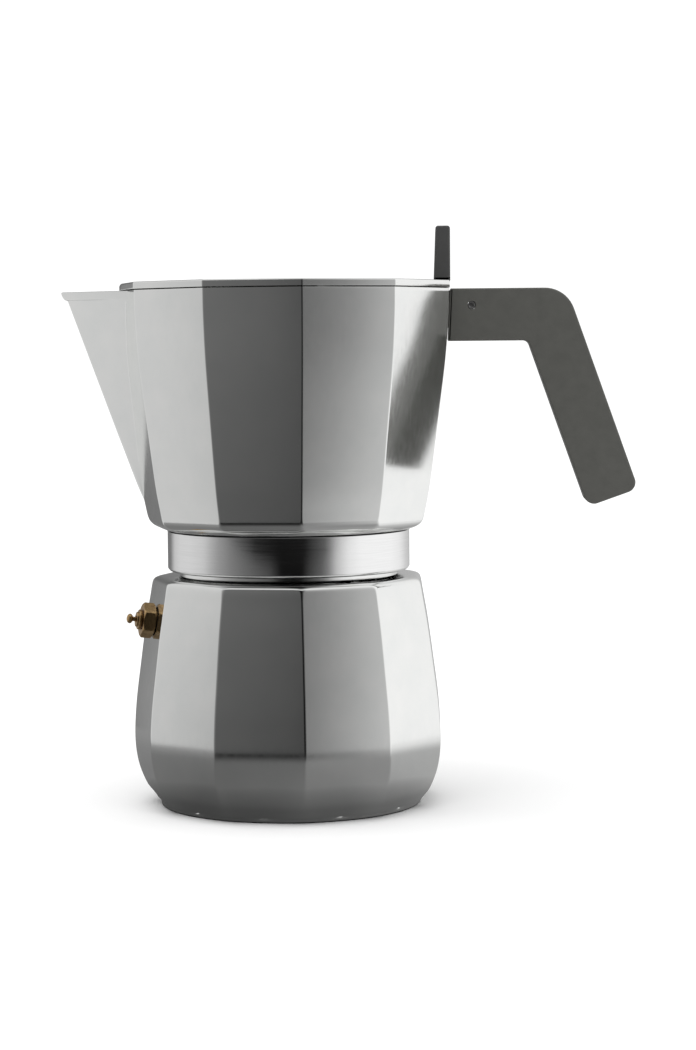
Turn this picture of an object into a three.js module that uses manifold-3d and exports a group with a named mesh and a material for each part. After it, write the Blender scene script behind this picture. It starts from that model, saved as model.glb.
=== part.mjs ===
// A stovetop moka pot, in millimetres. +Z is up, the origin is the centre of the boiler's underside,
// +X points to the handle and -X to the spout. The vessels have eleven facets: one faces the handle
// and one edge runs down under the spout.
import * as THREE from 'three';
import { mergeVertices } from 'three/addons/utils/BufferGeometryUtils.js';
import Module from 'manifold-3d';

const wasm = await Module();
wasm.setup();

// Driving dimensions
const FACETS = 11;
const ROUND = 44; // sides of a large round surface
const GAP = 0.3; // clearance between touching pieces
const WALL = 3.0; // cast wall of both vessels

const BASE_RADIUS = 50.9;
const BASE_RING = 1.6; // height of the round ring that the boiler stands on
const SHOULDER_HEIGHT = 89.3;
const NECK_TOP = 103.3;
const NECK_RADIUS = 42.2;
const NECK_BORE = 37.5;
const COLLAR_BOTTOM = 91.6;
const COLLAR_TOP = 107.0;
const COLLAR_RADIUS = 47.2;
const COLLAR_BORE = 44.8;
const GASKET_SEAT = 108.0;
const VESSEL_FLOOR = 112.0;
const RIM_HEIGHT = 200.0;
const VESSEL_RIM = 65.8;
const LID_BOTTOM = RIM_HEIGHT + GAP;
const LID_TOP = 203.0;
const LID_RADIUS = 66.1;
const LID_SPOUT_EDGE = 64.3; // where the lid's corner over the spout is cut back

const THREAD_PITCH = 4.5;
const THREAD_TURNS = 2;
const THREAD_RIDGE = 0.9; // radius of the rounded ridge

const SPOUT_FOOT = 112.0;
const SPOUT_CHANNEL_FOOT = 124.0;
const SPOUT_MEETS = [119.1, 57.1]; // height and reach where the ridge leaves the vessel's edge
const SPOUT_SLOPE = 0.363; // how far the ridge runs out for each millimetre of height
const SPOUT_LIP = 1.5; // how far the rim stands out at the tip
const SPOUT_ROOT = 50.0; // inner end of the spout's section, inside the vessel's wall
const SPOUT_WALL = 2.6;

const HANDLE_WIDTH = 15.0;
const HANDLE_DEPTH = 20.7; // width of the flat strip that the handle is cut from
const HANDLE_UNDERSIDE = 179.8;
const HANDLE_ANGLE = THREE.MathUtils.degToRad(70.55); // from the level arm down to the leg
const HANDLE_CORNER = 108.4; // where the outer edges of arm and leg would meet
const HANDLE_LEG = 82.4; // outer edge of the leg, from that corner to its end
const POCKET_END = 80.0;
const POCKET_HALF = 4.7;

const PIN_X = 71.9;
const PIN_Z = 193.5;
const PIN_RADIUS = 1.5;
const PIN_HOLE = 1.6;

const KNOB_REAR = 63.7;
const KNOB_THICK = 6.4;
const KNOB_HALF = 10.0;
const KNOB_TOP = 224.0;
const SCREW_Y = 6.0;
const SCREW_X = 60.2;

const VALVE_HEIGHT = 72.8;
const VALVE_TILT = THREE.MathUtils.degToRad(7.9);

const FACET_ANGLE = 2 * Math.PI / FACETS;
const APOTHEM = Math.cos(FACET_ANGLE / 2); // facet distance over corner distance

// Profiles as [corner radius, height]
const BOILER_SIDE = [
  [52.4, BASE_RING], [54.0, 3.9], [57.1, 7.8], [60.1, 15.8], [61.3, 25.7],
  [60.6, 39.5], [58.6, 55.3], [56.4, 71.1], [54.3, 83.0],
];
const VESSEL_SIDE = [[55.1, 111.6], [57.8, 126.0], [61.1, 149.4], [64.2, 172.8], [65.55, 190.0]];

// ---------------------------------------------------------------- solids

function solid(geometry) {
  const bare = new THREE.BufferGeometry();
  bare.setAttribute('position', geometry.getAttribute('position').clone());
  if (geometry.index) bare.setIndex(geometry.index.clone());
  const merged = mergeVertices(bare, 1e-4);
  const corners = Array.from(merged.index.array);
  const kept = [];
  for (let i = 0; i < corners.length; i += 3) {
    const [a, b, c] = corners.slice(i, i + 3);
    if (a !== b && b !== c && c !== a) kept.push(a, b, c);
  }
  return new wasm.Manifold(new wasm.Mesh({
    numProp: 3,
    vertProperties: new Float32Array(merged.getAttribute('position').array),
    triVerts: new Uint32Array(kept),
  }));
}

function surface(body) {
  const mesh = body.getMesh();
  const geometry = new THREE.BufferGeometry();
  geometry.setAttribute('position', new THREE.BufferAttribute(mesh.vertProperties, 3));
  geometry.setIndex(new THREE.BufferAttribute(mesh.triVerts, 1));
  geometry.computeVertexNormals();
  return geometry;
}

// A profile of [radius, height] pairs turned about Z; the first corner lies half a step from +X.
function turned(profile, sides = ROUND) {
  const points = profile.map(([radius, height]) => new THREE.Vector2(radius, height));
  const start = Math.PI / 2 + Math.PI / sides;
  const geometry = new THREE.LatheGeometry(points, sides, start);
  geometry.rotateX(Math.PI / 2);
  return geometry;
}

function turnedSolid(profile, sides = ROUND) {
  return solid(turned(profile, sides));
}

function rod(radius, bottom, top, sides = 24) {
  return turnedSolid([[0, bottom], [radius, bottom], [radius, top], [0, top]], sides);
}

function ring(outer, inner, bottom, top, sides = ROUND) {
  return turnedSolid([
    [inner, bottom], [outer, bottom], [outer, top], [inner, top], [inner, bottom],
  ], sides);
}

function block(low, high) {
  const size = high.map((value, i) => value - low[i]);
  const geometry = new THREE.BoxGeometry(...size);
  geometry.translate(...low.map((value, i) => value + size[i] / 2));
  return solid(geometry);
}

// A shape drawn in X and Z, given a width along Y about the middle plane.
function slab(shape, width, middle = 0) {
  const settings = { depth: width, bevelEnabled: false, curveSegments: 6 };
  const geometry = new THREE.ExtrudeGeometry(shape, settings);
  geometry.rotateX(Math.PI / 2);
  geometry.translate(0, middle + width / 2, 0);
  return solid(geometry);
}

// A rod along Y through a point in X and Z.
function crossRod(radius, x, z, from, to, sides = 16) {
  const geometry = turned([[0, from], [radius, from], [radius, to], [0, to]], sides);
  geometry.rotateX(-Math.PI / 2);
  geometry.translate(x, 0, z);
  return solid(geometry);
}

// Smooth curve through [radius, height] pairs, as more of such pairs.
function smooth(pairs, count) {
  const curve = new THREE.SplineCurve(pairs.map(([radius, height]) => new THREE.Vector2(radius, height)));
  return curve.getPoints(count).map((point) => [point.x, point.y]);
}

function inset(pairs, distance) {
  return pairs.map(([radius, height]) => [radius - distance, height]);
}

// A polygon whose corners are rounded: each entry is [x, z, corner radius].
function roundedShape(corners) {
  const shape = new THREE.Shape();
  const count = corners.length;
  corners.forEach(([x, z, radius], i) => {
    const here = new THREE.Vector2(x, z);
    const before = new THREE.Vector2(...corners[(i + count - 1) % count]).sub(here).normalize();
    const after = new THREE.Vector2(...corners[(i + 1) % count]).sub(here).normalize();
    const half = Math.acos(THREE.MathUtils.clamp(before.dot(after), -1, 1)) / 2;
    const reach = radius / Math.tan(half);
    const enter = here.clone().addScaledVector(before, reach);
    const leave = here.clone().addScaledVector(after, reach);
    if (i === 0) shape.moveTo(enter.x, enter.y);
    else shape.lineTo(enter.x, enter.y);
    if (radius > 0) shape.quadraticCurveTo(x, z, leave.x, leave.y);
  });
  shape.closePath();
  return shape;
}

// Points of one helix turn after another at a given radius.
class Helix extends THREE.Curve {
  constructor(radius, bottom, pitch, turns) {
    super();
    Object.assign(this, { radius, bottom, pitch, turns });
  }

  getPoint(t, target = new THREE.Vector3()) {
    const angle = 2 * Math.PI * this.turns * t;
    const height = this.bottom + this.pitch * this.turns * t;
    return target.set(this.radius * Math.cos(angle), this.radius * Math.sin(angle), height);
  }
}

function coil(curve, radius, steps, sides = 6) {
  const section = new THREE.Shape();
  for (let i = 0; i < sides; i += 1) {
    const angle = 2 * Math.PI * i / sides;
    const x = radius * Math.cos(angle);
    const y = radius * Math.sin(angle);
    if (i === 0) section.moveTo(x, y);
    else section.lineTo(x, y);
  }
  section.closePath();
  return solid(new THREE.ExtrudeGeometry(section, { steps, extrudePath: curve, bevelEnabled: false }));
}

function threadRidge(radius, bottom) {
  return coil(new Helix(radius, bottom, THREAD_PITCH, THREAD_TURNS), THREAD_RIDGE, 24 * THREAD_TURNS, 5);
}

// Holes in rings about Z, with as many in each ring as its number times six, and one in the middle.
function perforations(spacing, rings, radius, bottom, top) {
  const holes = [rod(radius, bottom, top, 6)];
  for (let row = 1; row <= rings; row += 1) {
    const count = 6 * row;
    for (let i = 0; i < count; i += 1) {
      const angle = 2 * Math.PI * i / count;
      const place = [row * spacing * Math.cos(angle), row * spacing * Math.sin(angle), 0];
      holes.push(rod(radius, bottom, top, 6).translate(place));
    }
  }
  return wasm.Manifold.union(holes);
}

// ---------------------------------------------------------------- materials and meshes

const FINISHES = {
  castAluminium: { color: 0xc4c5c2, roughness: 0.34, metalness: 1.0 },
  drawnAluminium: { color: 0xd0d1cf, roughness: 0.28, metalness: 1.0 },
  brass: { color: 0xa98a4e, roughness: 0.36, metalness: 1.0 },
  steel: { color: 0xb4b6b8, roughness: 0.3, metalness: 1.0 },
  polyamide: { color: 0x55554f, roughness: 0.62, metalness: 0.0 },
  rubber: { color: 0xe6e4dc, roughness: 0.7, metalness: 0.0 },
};

function piece(name, body, finish) {
  const mesh = new THREE.Mesh(surface(body), new THREE.MeshStandardMaterial(FINISHES[finish]));
  mesh.name = name;
  return mesh;
}

// ---------------------------------------------------------------- boiler

function boilerOutside() {
  const shoulder = [[53.6, 86.2], [51.8, 88.4], [48.8, SHOULDER_HEIGHT]];
  const faceted = turnedSolid([
    [0, BASE_RING], ...smooth(BOILER_SIDE, 12), ...shoulder, [0, SHOULDER_HEIGHT],
  ], FACETS);
  const base = rod(BASE_RADIUS, 0, BASE_RING + 1, ROUND);
  const neck = rod(NECK_RADIUS, SHOULDER_HEIGHT - 2, NECK_TOP, ROUND);
  const ridge = threadRidge(NECK_RADIUS + 0.1, SHOULDER_HEIGHT + 2.6);
  return faceted.add(base).add(neck).add(ridge);
}

function boilerCavity() {
  const side = smooth([
    [49.6, 7.5], [53.8, 13.0], [55.8, 25.7], [55.0, 39.5], [53.0, 55.3], [51.0, 71.1], [48.6, 82.0],
  ], 9);
  return turnedSolid([
    [0, 4.5], [44.0, 4.5], ...side, [42.0, 86.0], [NECK_BORE, 87.2], [NECK_BORE, 110], [0, 110],
  ], 33);
}

function cornerRadiusAt(pairs, height) {
  const after = pairs.findIndex(([, z]) => z > height);
  const [lowRadius, low] = pairs[after - 1];
  const [highRadius, high] = pairs[after];
  return lowRadius + (highRadius - lowRadius) * (height - low) / (high - low);
}

// The safety valve stands square to the facet beside the spout edge, towards -Y.
function valveFrame() {
  const facing = Math.PI + FACET_ANGLE / 2;
  const distance = cornerRadiusAt(BOILER_SIDE, VALVE_HEIGHT) * APOTHEM;
  const level = Math.cos(VALVE_TILT);
  const sideways = [level * Math.cos(facing), level * Math.sin(facing)];
  const outward = new THREE.Vector3(...sideways, Math.sin(VALVE_TILT));
  const frame = new THREE.Group();
  frame.position.set(distance * Math.cos(facing), distance * Math.sin(facing), VALVE_HEIGHT);
  frame.quaternion.setFromUnitVectors(new THREE.Vector3(0, 0, 1), outward);
  frame.updateMatrix();
  return frame;
}

function boiler(frame) {
  const hole = turned([[0, -12], [5.1, -12], [5.1, 12], [0, 12]], 24);
  hole.applyMatrix4(frame.matrix);
  return boilerOutside().subtract(boilerCavity()).subtract(solid(hole));
}

// ---------------------------------------------------------------- safety valve (own axis along Z)

const HEX_BOTTOM = 0.4;
const HEX_TOP = 5.0;
const WASHER_TOP = 1.1; // the washer lies in a recess under the hexagon
const HEX_RADIUS = 6.9;
const SEAT_INSIDE = -5.6;
const SEAT_OUTSIDE = -4.4;
const VALVE_BORE = 2.7;

function valveBody() {
  const hexagon = rod(HEX_RADIUS, HEX_BOTTOM, HEX_TOP, 6);
  const chamfer = turnedSolid([
    [0, HEX_BOTTOM], [6.3, HEX_BOTTOM], [7.2, HEX_BOTTOM + 0.6], [7.2, HEX_TOP - 0.8],
    [6.0, HEX_TOP], [0, HEX_TOP],
  ], 24);
  const recess = rod(5.65, HEX_BOTTOM - 1, WASHER_TOP + GAP, 24);
  const shank = rod(4.7, SEAT_INSIDE, WASHER_TOP + 1, 24);
  const bore = rod(VALVE_BORE, SEAT_OUTSIDE, HEX_TOP + 1, 20);
  const seat = rod(1.5, SEAT_INSIDE - 1, SEAT_OUTSIDE + 1, 16);
  return hexagon
    .intersect(chamfer)
    .subtract(recess)
    .add(shank)
    .subtract(bore)
    .subtract(seat);
}

function valveCap() {
  const bottom = HEX_TOP + GAP;
  return turnedSolid([
    [1.3, 4.6], [2.3, 4.6], [2.3, bottom], [3.9, bottom], [3.9, bottom + 1.0],
    [2.9, bottom + 1.0], [2.9, bottom + 1.8], [1.3, bottom + 1.8], [1.3, 4.6],
  ], 20);
}

function valvePin() {
  return turnedSolid([
    [0, -3.3], [2.2, -3.3], [2.2, -2.5], [0.9, -2.5], [0.9, 8.7],
    [1.6, 8.9], [1.9, 9.6], [1.5, 10.4], [0, 10.7],
  ], 16);
}

function valveSpring() {
  return coil(new Helix(1.75, -1.8, 1.2, 4.8), 0.32, 58, 5);
}

// ---------------------------------------------------------------- funnel

const CUP_OUTER = 36.9;
const CUP_INNER = 35.9;
const CUP_LEDGE = 84.0;
const STEM_TOP = 75.0;

function funnelCup() {
  return turnedSolid([
    [5.9, 70.0], [7.2, 70.0], [7.2, 74.0], [CUP_OUTER - 1, 82.4], [CUP_OUTER, 83.4],
    [CUP_OUTER, NECK_TOP + GAP], [41.5, NECK_TOP + GAP],
    [41.5, NECK_TOP + 1.3], [CUP_INNER, NECK_TOP + 1.3],
    [CUP_INNER, CUP_LEDGE], [33.5, CUP_LEDGE], [33.5, 83.2], [5.9, 75.4], [5.9, 70.0],
  ]);
}

function funnelStem() {
  return ring(5.6, 4.5, 9.0, STEM_TOP, 20);
}

function funnelScreen() {
  const bottom = CUP_LEDGE + GAP;
  const plate = rod(CUP_INNER - GAP - 0.1, bottom, bottom + 0.8, ROUND);
  return plate.subtract(perforations(9.4, 3, 1.3, bottom - 1, bottom + 2));
}

// ---------------------------------------------------------------- gasket and filter plate

const GASKET_BOTTOM = NECK_TOP + 1.3 + GAP;

function gasket() {
  return ring(42.0, 34.2, GASKET_BOTTOM, GASKET_SEAT - GAP);
}

function filterPlate() {
  const plate = rod(33.9, GASKET_BOTTOM + 0.6, GASKET_BOTTOM + 1.5, ROUND);
  return plate.subtract(perforations(9.0, 3, 1.2, GASKET_BOTTOM - 1, GASKET_BOTTOM + 3));
}

// ---------------------------------------------------------------- collector

function spoutTip(height) {
  const lip = height >= RIM_HEIGHT ? SPOUT_LIP : 0;
  return SPOUT_MEETS[1] + SPOUT_SLOPE * (height - SPOUT_MEETS[0]) + lip;
}

function spoutHalfWidth(height) {
  return THREE.MathUtils.mapLinear(height, 117, RIM_HEIGHT, 5.6, 20.8);
}

// A V in plan from the tip to the vessel's side, changing with height. It is drawn with unit sides,
// and each corner then moves to its place at its own height.
function spoutSolid(bottom, top, shrink) {
  const section = new THREE.Shape();
  section.moveTo(2, 0);
  section.lineTo(1, 1);
  section.lineTo(0, 1);
  section.lineTo(0, -1);
  section.lineTo(1, -1);
  section.closePath();
  const settings = { depth: top - bottom, steps: 6, bevelEnabled: false };
  const geometry = new THREE.ExtrudeGeometry(section, settings);
  const corners = geometry.getAttribute('position');
  for (let i = 0; i < corners.count; i += 1) {
    const height = bottom + corners.getZ(i);
    const half = spoutHalfWidth(height);
    const shoulder = 59.4 - 0.14 * (RIM_HEIGHT - height);
    const tip = spoutTip(height) - shrink * Math.hypot(1, (spoutTip(height) - shoulder) / half);
    const places = [SPOUT_ROOT - 2 * shrink, Math.min(shoulder, tip - 0.5), tip];
    const reach = places[Math.round(corners.getX(i))];
    const side = -corners.getY(i) * (half - shrink);
    corners.setXYZ(i, -reach, side, height);
  }
  return solid(geometry);
}

function vesselOutside() {
  const side = smooth(VESSEL_SIDE, 9);
  return turnedSolid([
    [0, COLLAR_TOP - 1], [48.4, COLLAR_TOP - 1], [48.4, COLLAR_TOP], [53.4, 109.8],
    ...side, [VESSEL_RIM, RIM_HEIGHT], [0, RIM_HEIGHT],
  ], FACETS);
}

function vesselCavity() {
  const side = inset(smooth([[55.6, 116.0], ...VESSEL_SIDE.slice(1)], 7), WALL / APOTHEM);
  return turnedSolid([
    [0, VESSEL_FLOOR], [48.5, VESSEL_FLOOR], ...side,
    [VESSEL_RIM - WALL / APOTHEM, RIM_HEIGHT + 2], [0, RIM_HEIGHT + 2],
  ], FACETS);
}

function collar() {
  return turnedSolid([
    [COLLAR_BORE, COLLAR_BOTTOM], [COLLAR_RADIUS - 0.8, COLLAR_BOTTOM],
    [COLLAR_RADIUS, COLLAR_BOTTOM + 0.8], [COLLAR_RADIUS, GASKET_SEAT + 1.5],
    [COLLAR_BORE, GASKET_SEAT + 1.5], [COLLAR_BORE, COLLAR_BOTTOM],
  ]);
}

// Two lugs on the rear facet that carry the hinge pin, with the lid's tongue between them.
function hingeLugs() {
  const shape = roundedShape([
    [60.0, 185.0, 0], [73.0, 185.0, 3], [77.0, 189.5, 3], [77.0, 199.4, 2], [60.0, 199.4, 0],
  ]);
  const near = slab(shape, 1.8, -3.5);
  const far = slab(shape, 1.8, 3.5);
  return near.add(far);
}

function collector() {
  const tongueNotch = block([56.0, -2.6, 187.0], [64.5, 2.6, 202.0]);
  const columnHole = rod(7.5, 100, 115, 20);
  const seat = rod(COLLAR_BORE, 100, GASKET_SEAT, ROUND);
  const pinHole = crossRod(PIN_HOLE, PIN_X, PIN_Z, -10, 10);
  const spout = spoutSolid(SPOUT_FOOT, RIM_HEIGHT, 0);
  const channel = spoutSolid(SPOUT_CHANNEL_FOOT, RIM_HEIGHT + 3, SPOUT_WALL);
  return vesselOutside()
    .add(spout)
    .subtract(vesselCavity())
    .subtract(channel)
    .add(hingeLugs())
    .subtract(seat)
    .add(collar())
    .add(threadRidge(COLLAR_BORE - 0.1, COLLAR_BOTTOM + 3.2))
    .subtract(tongueNotch)
    .subtract(pinHole)
    .subtract(columnHole);
}

function column() {
  const outside = turnedSolid([
    [0, 109.6], [7.2, 109.6], [7.2, VESSEL_FLOOR + GAP], [10.5, VESSEL_FLOOR + GAP], [9.4, 117.0],
    [7.2, 176.0], [6.6, 179.0], [4.6, 181.0], [0, 181.4],
  ], 24);
  const bore = turnedSolid([[0, 105], [5.4, 105], [5.0, 175.0], [0, 177.0]], 20);
  const outlets = crossRod(2.6, 0, 170.0, -12, 12, 12);
  return outside.subtract(bore).subtract(outlets);
}

// ---------------------------------------------------------------- lid and knob

const COUNTERSINK = 2.9;

function lid() {
  const plate = turnedSolid([
    [0, LID_BOTTOM], [LID_RADIUS, LID_BOTTOM], [LID_RADIUS, LID_TOP - 0.3],
    [LID_RADIUS - 0.3, LID_TOP], [0, LID_TOP],
  ], FACETS);
  const tongue = slab(roundedShape([
    [56.5, LID_BOTTOM + 0.5, 0], [56.5, 197.5, 0], [64.0, 190.6, 2], [71.5, 188.9, 2],
    [76.0, 190.6, 3], [76.0, 197.0, 3], [63.0, 199.6, 2], [62.4, LID_BOTTOM + 0.5, 0],
  ]), 4.4);
  const sunk = (side) => turnedSolid([
    [0, LID_BOTTOM - 1], [COUNTERSINK, LID_BOTTOM - 1], [COUNTERSINK, LID_BOTTOM + 0.3],
    [1.5, LID_BOTTOM + 1.8], [1.5, LID_TOP + 1], [0, LID_TOP + 1],
  ], 16).translate([SCREW_X, side * SCREW_Y, 0]);
  const overSpout = block([-70, -20, LID_BOTTOM - 1], [-LID_SPOUT_EDGE, 20, LID_TOP + 1]);
  const pinHole = crossRod(PIN_HOLE, PIN_X, PIN_Z, -10, 10);
  return plate
    .subtract(overSpout)
    .add(tongue)
    .subtract(sunk(-1))
    .subtract(sunk(1))
    .subtract(pinHole);
}

function knobScrew() {
  return turnedSolid([
    [0, LID_BOTTOM + 0.1], [COUNTERSINK - 0.4, LID_BOTTOM + 0.1], [1.15, LID_BOTTOM + 1.8],
    [1.15, 211.0], [0, 211.4],
  ], 16).translate([SCREW_X, 0, 0]);
}

function lidKnob() {
  const profile = roundedShape([
    [KNOB_REAR - KNOB_THICK, LID_TOP + GAP, 0], [KNOB_REAR, LID_TOP + GAP, 0],
    [KNOB_REAR, KNOB_TOP, 1.1], [KNOB_REAR - KNOB_THICK + 0.8, KNOB_TOP, 1.1],
  ]);
  const bore = (side) => rod(1.5, 200, 212.5, 12).translate([SCREW_X, side * SCREW_Y, 0]);
  return slab(profile, 2 * KNOB_HALF).subtract(bore(-1)).subtract(bore(1));
}

// ---------------------------------------------------------------- handle and pin

function handleOutline() {
  const down = [Math.cos(HANDLE_ANGLE), -Math.sin(HANDLE_ANGLE)];
  const inward = [-Math.sin(HANDLE_ANGLE), -Math.cos(HANDLE_ANGLE)];
  const end = [HANDLE_CORNER + HANDLE_LEG * down[0], RIM_HEIGHT + HANDLE_LEG * down[1]];
  const foot = [end[0] + HANDLE_DEPTH * inward[0], end[1] + HANDLE_DEPTH * inward[1]];
  const rise = (HANDLE_UNDERSIDE - foot[1]) / Math.sin(HANDLE_ANGLE);
  const inner = [foot[0] - rise * down[0], HANDLE_UNDERSIDE];
  return roundedShape([
    [63.6, RIM_HEIGHT, 0.6], [HANDLE_CORNER, RIM_HEIGHT, 12], [...end, 4], [...foot, 4],
    [...inner, 2.5], [62.6, HANDLE_UNDERSIDE, 0.6],
  ]);
}

function handle() {
  const pocket = block([60, -POCKET_HALF, 183.5], [POCKET_END, POCKET_HALF, 202]);
  const pinHole = crossRod(PIN_HOLE, PIN_X, PIN_Z, -10, 10);
  return slab(handleOutline(), HANDLE_WIDTH).subtract(pocket).subtract(pinHole);
}

function hingePin() {
  const half = HANDLE_WIDTH / 2 - 0.4;
  const outside = crossRod(PIN_RADIUS, PIN_X, PIN_Z, -half, half);
  const inside = crossRod(0.7, PIN_X, PIN_Z, -10, 10, 10);
  return outside.subtract(inside);
}

// ---------------------------------------------------------------- assembly

const valve = valveFrame();
valve.add(piece('valve_body', valveBody(), 'brass'));
valve.add(piece('valve_washer', ring(5.45, 4.95, GAP, WASHER_TOP, 24), 'rubber'));
valve.add(piece('valve_cap', valveCap(), 'brass'));
valve.add(piece('valve_pin', valvePin(), 'brass'));
valve.add(piece('valve_seal', rod(2.2, SEAT_OUTSIDE + GAP, -3.3 - GAP, 16), 'rubber'));
valve.add(piece('valve_spring', valveSpring(), 'steel'));

const funnel = new THREE.Group();
funnel.add(piece('funnel_cup', funnelCup(), 'drawnAluminium'));
funnel.add(piece('funnel_stem', funnelStem(), 'drawnAluminium'));
funnel.add(piece('funnel_screen', funnelScreen(), 'drawnAluminium'));

const upper = new THREE.Group();
upper.add(piece('gasket', gasket(), 'rubber'));
upper.add(piece('filter_plate', filterPlate(), 'drawnAluminium'));
upper.add(piece('collector', collector(), 'castAluminium'));
upper.add(piece('column', column(), 'castAluminium'));
upper.add(piece('handle', handle(), 'polyamide'));
upper.add(piece('hinge_pin', hingePin(), 'steel'));

const cover = new THREE.Group();
cover.add(piece('lid', lid(), 'castAluminium'));
cover.add(piece('lid_knob', lidKnob(), 'polyamide'));
for (const [name, side] of [['knob_screw_near', -1], ['knob_screw_far', 1]]) {
  const screw = piece(name, knobScrew(), 'steel');
  screw.position.y = side * SCREW_Y;
  cover.add(screw);
}

const mokaPot = new THREE.Group();
mokaPot.add(piece('boiler', boiler(valve), 'castAluminium'), valve, funnel, upper, cover);

export default mokaPot;
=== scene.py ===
# A stovetop moka pot in cast aluminium with a plastic handle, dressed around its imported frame.
# Shapes are worked out in millimetres and scaled to metres as each mesh is made. +Z is up, +X points
# to the handle and -X to the spout.
import math

import bmesh
import bpy
import numpy as np
from mathutils import Matrix, Vector


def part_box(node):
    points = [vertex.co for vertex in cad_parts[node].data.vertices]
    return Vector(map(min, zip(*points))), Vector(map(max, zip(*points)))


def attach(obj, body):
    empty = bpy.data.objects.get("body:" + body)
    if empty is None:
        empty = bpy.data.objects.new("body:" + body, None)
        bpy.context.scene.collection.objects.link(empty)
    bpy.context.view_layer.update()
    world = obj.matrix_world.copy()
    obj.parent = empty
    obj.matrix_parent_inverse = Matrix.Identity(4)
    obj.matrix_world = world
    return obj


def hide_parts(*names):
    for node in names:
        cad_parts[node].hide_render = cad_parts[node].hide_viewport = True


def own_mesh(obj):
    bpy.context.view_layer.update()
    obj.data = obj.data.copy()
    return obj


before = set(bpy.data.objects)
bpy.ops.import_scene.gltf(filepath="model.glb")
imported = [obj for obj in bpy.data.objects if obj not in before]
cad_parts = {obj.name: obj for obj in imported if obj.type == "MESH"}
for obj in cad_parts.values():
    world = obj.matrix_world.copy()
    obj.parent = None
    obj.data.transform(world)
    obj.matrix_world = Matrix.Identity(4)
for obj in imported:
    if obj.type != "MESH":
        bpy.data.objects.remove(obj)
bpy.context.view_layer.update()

MM = 0.001
FACETS = 11
HALF_FACET = math.pi / FACETS
SHARP_ANGLE = math.radians(38)


def low(node):
    """Lowest corner of a CAD node, in millimetres."""
    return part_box(node)[0] / MM


def high(node):
    """Highest corner of a CAD node, in millimetres."""
    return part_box(node)[1] / MM


# ---------------------------------------------------------------- driving dimensions

NECK_TOP = high("boiler").z
COLLAR_BOTTOM = low("collector").z
RIM = high("collector").z
LID_TOP = high("lid").z
GAP = 0.3
LID_BOTTOM = RIM + GAP
WALL = 3.0

SHOULDER = 89.3
NECK_RADIUS = 42.2
NECK_BORE = 37.5
COLLAR_TOP = 107.0
COLLAR_RADIUS = 47.2
COLLAR_BORE = 44.8
GASKET_SEAT = 108.0
VESSEL_FLOOR = 112.0
VESSEL_RIM = 65.8
LID_CORNER = 66.1
LID_SPOUT_EDGE = 64.3  # where the lid's corner over the spout is cut back
LID_SPOUT_ROUND = 1.4

THREAD_PITCH = 4.5
THREAD_TURNS = 2
THREAD_HEIGHT = 0.95
THREAD_HALF_WIDTH = 1.15

SPOUT_MEETS = (119.1, 57.1)  # height and reach where the ridge leaves the vessel's corner
SPOUT_SLOPE = 0.363  # how far the ridge runs out for each millimetre of height
SPOUT_OPENING = math.radians(37.8)  # each side of the V from its middle, seen from above
SPOUT_LIP = 1.5
SPOUT_LIP_DEPTH = 3.2
SPOUT_WALL = 2.6

HANDLE_HALF = high("handle").y
HANDLE_TOP = RIM
HANDLE_DEPTH = 20.7
HANDLE_UNDERSIDE = 179.8
HANDLE_ANGLE = math.radians(70.55)
HANDLE_CORNER = 108.4
HANDLE_LEG = 82.4
POCKET_END = 80.0
POCKET_HALF = 4.7
POCKET_FLOOR = 183.5

PIN_X = 71.9
PIN_Z = 193.5
PIN_RADIUS = 1.5
PIN_HOLLOW = 0.85
PIN_HOLE = 1.6

KNOB_REAR = high("lid_knob").x
KNOB_FRONT = low("lid_knob").x
KNOB_HALF = high("lid_knob").y
KNOB_TOP = high("lid_knob").z
SCREW_X = 60.2
SCREW_Y = 6.0

VALVE_HEIGHT = 72.8
VALVE_REACH = 53.82
VALVE_TILT = math.radians(7.9)

# Outlines of the vessels as (corner radius, height), and how round the corners are at each height.
BOILER_SIDE = [(52.9, 1.9), (54.2, 3.9), (57.1, 7.8), (60.1, 15.8), (61.3, 25.7), (60.6, 39.5),
               (58.6, 55.3), (56.4, 71.1), (54.3, 83.0)]
BOILER_SHOULDER = [(54.3, 83.0), (53.95, 85.2), (53.6, 86.9), (53.2, 87.9), (52.4, 88.7), (51.2, 89.15),
                   (49.8, SHOULDER)]
BOILER_ROUNDING = [(1.5, 12.0), (3.9, 7.0), (7.8, 4.5), (12.0, 3.2), (17.0, 2.2), (24.0, 1.6),
                   (84.0, 1.6), (87.0, 2.5), (88.3, 6.0), (SHOULDER, 18.0)]
BOILER_CAVITY = [(37.9, 86.9), (42.0, 86.0), (48.6, 82.0), (51.0, 71.1), (53.0, 55.3), (55.0, 39.5),
                 (55.8, 25.7), (53.8, 13.0), (49.6, 7.5), (44.0, 4.6)]
VESSEL_SIDE = [(55.6, 114.6), (57.8, 126.0), (61.1, 149.4), (64.2, 172.8), (65.55, 190.0),
               (VESSEL_RIM, 199.7)]
VESSEL_UNDERSIDE = [(48.3, COLLAR_TOP), (50.6, 108.0), (52.9, 109.2), (54.3, 110.6), (55.1, 112.4),
                    (55.6, 114.6)]
VESSEL_ROUNDING = [(COLLAR_TOP, 48.0), (108.0, 20.0), (109.2, 8.0), (110.6, 4.0), (112.4, 2.0),
                   (115.0, 1.1)]


# ---------------------------------------------------------------- outlines

def smooth_line(points, per_span):
    """A smooth curve through points, with the same number of steps in every span."""
    points = [np.array(point, float) for point in points]
    padded = [2 * points[0] - points[1], *points, 2 * points[-1] - points[-2]]
    curve = []
    for before, start, end, after in zip(padded, padded[1:], padded[2:], padded[3:]):
        for step in range(per_span):
            t = step / per_span
            curve.append(0.5 * (2 * start + (end - before) * t
                                + (2 * before - 5 * start + 4 * end - after) * t ** 2
                                + (3 * start - before - 3 * end + after) * t ** 3))
    curve.append(points[-1])
    return curve


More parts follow.
